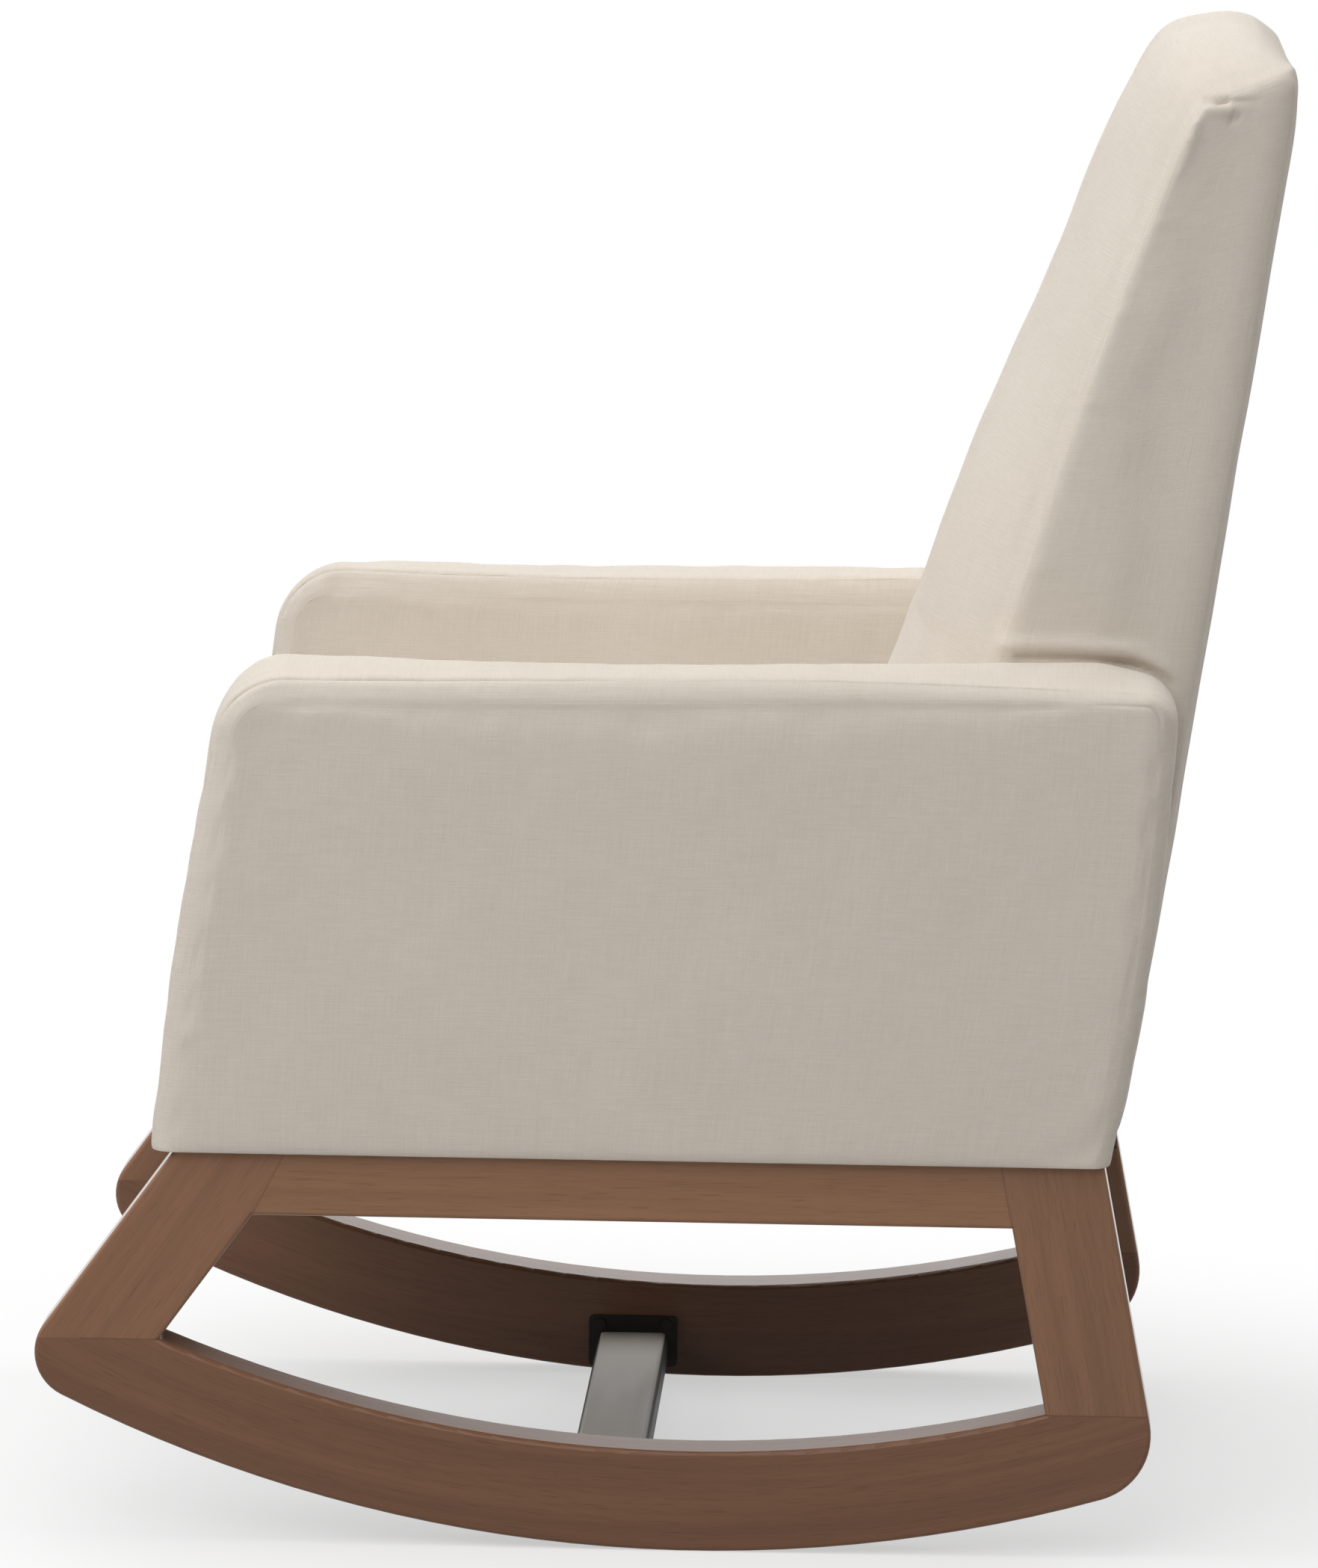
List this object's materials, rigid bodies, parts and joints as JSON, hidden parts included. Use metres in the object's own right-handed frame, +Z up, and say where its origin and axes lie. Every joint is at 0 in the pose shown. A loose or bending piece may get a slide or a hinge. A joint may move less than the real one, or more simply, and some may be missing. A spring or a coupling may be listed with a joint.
{
  "type": "rocking chair",
  "caption": "Upholstered armchair on curved wooden runners, with a tall leaning padded back, boxed arms and a loose seat cushion; it rocks as it rolls on its runners.",
  "frame": {"origin": "on the floor, midway between the two runners and midway between the foremost and the rearmost point of the chair; the runners touch the floor 25 mm behind it", "axes": "+Z up, the chair faces -Y, +X towards the sitter's left"},
  "size_m": [0.64, 0.8234, 1.007],
  "materials": {
    "walnut_wood": "satin lacquer over a walnut stain",
    "frame_wood": "planed hardwood, no finish",
    "plywood": "thin plywood, no finish",
    "linen_fabric": "fine linen-like weave, matte",
    "foam": "open-cell foam under thin wadding",
    "webbing": "woven elastic webbing",
    "dust_cloth": "thin spun-bonded cloth",
    "black_steel": "satin black powder coat",
    "spring_steel": "bare spring steel",
    "zinc_steel": "bright zinc plate"
  },
  "bodies": {
    "chair": {"apron_padding": "foam", "back_bolts": "zinc_steel", "back_bottom_rail": "frame_wood", "back_cover": "linen_fabric", "back_head_rail": "frame_wood", "back_lumbar_rail": "frame_wood", "back_padding": "foam", "back_top_rail": "frame_wood", "back_webbing": "webbing", "deck_cover": "linen_fabric", "deck_padding": "foam", "dust_cover": "dust_cloth", "frame_bolts": "zinc_steel", "left_arm_cover": "linen_fabric", "left_arm_foot_rail": "frame_wood", "left_arm_front_post": "frame_wood", "left_arm_inner_board": "plywood", "left_arm_outer_board": "plywood", "left_arm_padding": "foam", "left_arm_rear_post": "frame_wood", "left_arm_top_rail": "frame_wood", "left_back_side_panel": "frame_wood", "left_frame_dowels": "frame_wood", "left_front_post": "walnut_wood", "left_rear_post": "walnut_wood", "left_runner": "walnut_wood", "left_seat_side_rail": "frame_wood", "left_top_rail": "walnut_wood", "right_arm_cover": "linen_fabric", "right_arm_foot_rail": "frame_wood", "right_arm_front_post": "frame_wood", "right_arm_inner_board": "plywood", "right_arm_outer_board": "plywood", "right_arm_padding": "foam", "right_arm_rear_post": "frame_wood", "right_arm_top_rail": "frame_wood", "right_back_side_panel": "frame_wood", "right_frame_dowels": "frame_wood", "right_front_post": "walnut_wood", "right_rear_post": "walnut_wood", "right_runner": "walnut_wood", "right_seat_side_rail": "frame_wood", "right_top_rail": "walnut_wood", "seat_bolts": "zinc_steel", "seat_corner_blocks": "frame_wood", "seat_front_rail": "frame_wood", "seat_rear_rail": "frame_wood", "seat_springs": "spring_steel", "spring_clips": "spring_steel", "stretcher_plates": "black_steel", "stretcher_screws": "black_steel", "stretcher_tube": "black_steel", "t_nuts": "zinc_steel", "washers": "zinc_steel"},
    "cushion": {"cushion_core": "foam", "cushion_cover": "linen_fabric"}
  },
  "joints": [
    {"name": "cushion_lift", "type": "slide", "parent": "chair", "child": "cushion", "axis": [0, 0, 1], "range_m": [0, 0.3]}
  ]
}
